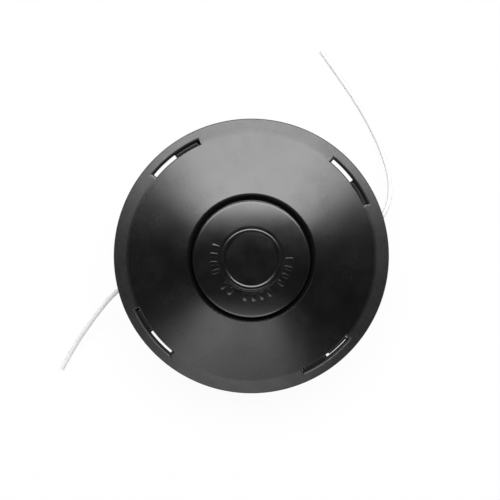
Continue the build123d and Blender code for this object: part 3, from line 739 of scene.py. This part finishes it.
# Base colour: the cone keeps its own tint, and the grained rim band gets painted sheen in place of its
# colour.
rim_painted_sheen_mix = nodes.new("ShaderNodeMix")
rim_painted_sheen_mix.data_type = "RGBA"
# Painted sheen: lighter speckles on the rim that follow the real grain pits and stand in for the highlights
# the grain spreads.
rim_grain_painted_sheen = nodes.new("ShaderNodeValToRGB")
rim_grain_painted_sheen.color_ramp.elements[0].position = 0.35
rim_grain_painted_sheen.color_ramp.elements[1].position = 0.65
rim_grain_painted_sheen.color_ramp.elements[0].color = (0.003, 0.003, 0.003, 1.0)
rim_grain_painted_sheen.color_ramp.elements[1].color = (0.022, 0.022, 0.0225, 1.0)
height = nodes.new("ShaderNodeSeparateXYZ")
inside = nodes.new("ShaderNodeMapRange")
inside.inputs["From Min"].default_value = 0.04848
inside.inputs["From Max"].default_value = 0.0482
inside.inputs["To Max"].default_value = 0.6
tree = cover_nylon.node_tree
face_slope, inside_reach, rim_roughness, rim_grain, cone_grain = 0.169, 0.066, 0.075, 0.52, 0.08
level = math_node(tree, "MULTIPLY_ADD", radius.outputs["Value"], face_slope, height.outputs["Z"])
within = math_node(tree, "LESS_THAN", radius.outputs["Value"], inside_reach)
matt = math_node(tree, "MULTIPLY", inside.outputs["Result"], within)
rim_gloss = math_node(
    tree, "MULTIPLY_ADD", grain_and_sheen_band.outputs["Result"], rim_roughness, nodes["gloss"].outputs["Result"])
rim_relief = math_node(tree, "MULTIPLY_ADD", grain_and_sheen_band.outputs["Result"], rim_grain, cone_grain)
links.new(place.outputs["Object"], height.inputs[0])
links.new(level, inside.inputs["Value"])
links.new(place.outputs["Object"], flat.inputs[0])
links.new(flat.outputs["Vector"], radius.inputs[0])
links.new(radius.outputs["Value"], grain_and_sheen_band.inputs["Value"])
links.new(grain_and_sheen_band.outputs["Result"], rim_painted_sheen_mix.inputs[0])
links.new(nodes["pits"].outputs["Fac"], rim_grain_painted_sheen.inputs["Fac"])
links.new(rim_grain_painted_sheen.outputs["Color"], rim_painted_sheen_mix.inputs[7])
links.new(nodes["tint"].outputs["Color"], rim_painted_sheen_mix.inputs[6])
links.new(rim_painted_sheen_mix.outputs[2], nodes["Principled BSDF"].inputs["Base Color"])
links.new(math_node(tree, "ADD", rim_gloss, matt), nodes["Principled BSDF"].inputs["Roughness"])
links.new(rim_relief, nodes["relief"].inputs["Strength"])
crease_radius, crease_height, cone_slope = 62.0, 38.4, 0.2614
hole_radius, lip_start, land_height, land_outer, shell_depth = 29.54, 31.75, 43.4, 32.8, 2.8
collar_inner, collar_outer, skirt_inner, rim_radius = 54.6, 56.7, 63.55, 68.5
skirt_foot, roof_height, rim_height = 31.0, 35.5, 37.3


def cone_height(radius):
    """Height of the cover's cone at a radius, in millimetres."""
    return crease_height + cone_slope * (crease_radius - radius)


lip = [(lip_start, cone_height(lip_start), 0)]
for bend, low, high, steps in ((10.0, 15.5, 19.5, 4), (2.7, 19.5, 65.0, 9)):
    foot_radius, foot_height, _ = lip[-1]
    for step in range(1, steps + 1):
        first, lean = math.radians(low), math.radians(low + (high - low) * step / steps)
        lip.append((foot_radius - bend * (math.sin(lean) - math.sin(first)),
                    foot_height - bend * (math.cos(first) - math.cos(lean)), 0))
shell_outline = rounded_outline([
    (hole_radius, land_height, 0.3), (land_outer, land_height, 0),
    (land_outer, cone_height(land_outer) - shell_depth, 0),
    (collar_inner, cone_height(collar_inner) - shell_depth, 0), (collar_inner, skirt_foot, 0.2),
    (collar_outer, skirt_foot, 0.3), (collar_outer, roof_height, 0), (skirt_inner, roof_height, 0),
    (skirt_inner, skirt_foot, 0.2), (rim_radius, skirt_foot, 0.6), (rim_radius, rim_height, 0.6),
    (crease_radius, crease_height, 3.0), (60.6, cone_height(60.6), 0), (59.0, cone_height(59.0), 0),
    (45.0, cone_height(45.0), 0)] + lip)
shell = turned("shell", shell_outline, cover_nylon, 256)
window_inner, window_outer, window_foot, window_round, round_foot = 61.25, 63.5, 29.0, 1.0, 36.936
window_first, window_pitch, window_sweep = 24.4, 90.0, 25.5
window_edge = [(window_outer + window_round * (1 - math.sin(math.radians(lean))),
                round_foot + window_round * math.cos(math.radians(lean)), 0)
               for lean in (80, 70, 60, 50, 40, 33, 27, 22, 17, 12, 8)]
window_outline = rounded_outline(
    [(window_inner, window_foot, 0), (window_outer, window_foot, 0), (window_outer, 35.3495, 0),
     (window_outer, round_foot, 0)] + window_edge
    + [(69.8, 38.69, 0), (59.914, 39.6, 0), (60.982, 38.532, 0), (61.107, 38.407, 0),
       (window_inner, 38.264, 0), (window_inner, 35.795, 0)])
# Each end stands upright and then leans out near the face, in faces that part where it bends.
window_ends = (((47.9225, 0.0), (50.6065, 0.25), (54.6065, 16.25)),
               ((47.9225, 0.0), (50.5065, 0.38), (54.5065, 16.38)))
window = ring_sector("window", window_outline, window_sweep, 20, window_ends, fall=0.198, ends=(
    [(0, 1, 2, 20), (20, *range(2, 13), 17, 18, 19), (17, *range(12, 17))],
    [(0, 1, 2, 20), (20, *range(2, 11), 18, 19), (18, *range(10, 18))]))
windows = set_round("windows", window, 4, window_first, window_pitch, cover_nylon)
ledge_outline = box_section(inner=61.55, outer=66.4, low=skirt_foot, high=33.5, edges=(0.2, 0.2, 0, 0.2))
ledge = ring_sector("ledge", ledge_outline, 12.6, 12)
ledges = set_round("ledges", ledge, 4, window_first, window_pitch, cover_nylon)
pawl_outline = box_section(inner=34.5, outer=40.5, low=37.5, high=43.0, edges=(0.3, 0.3, 0, 0))
pawls = set_round("pawls", ring_sector("pawl", pawl_outline, 8.0, 6), 8, 22.0, 45.0, cover_nylon)
cover = as_piece("cone_cover", [shell, ledges, pawls], cover_nylon, windows, smooth_below=11)
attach(cover, "housing")
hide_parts("bottom_cover")
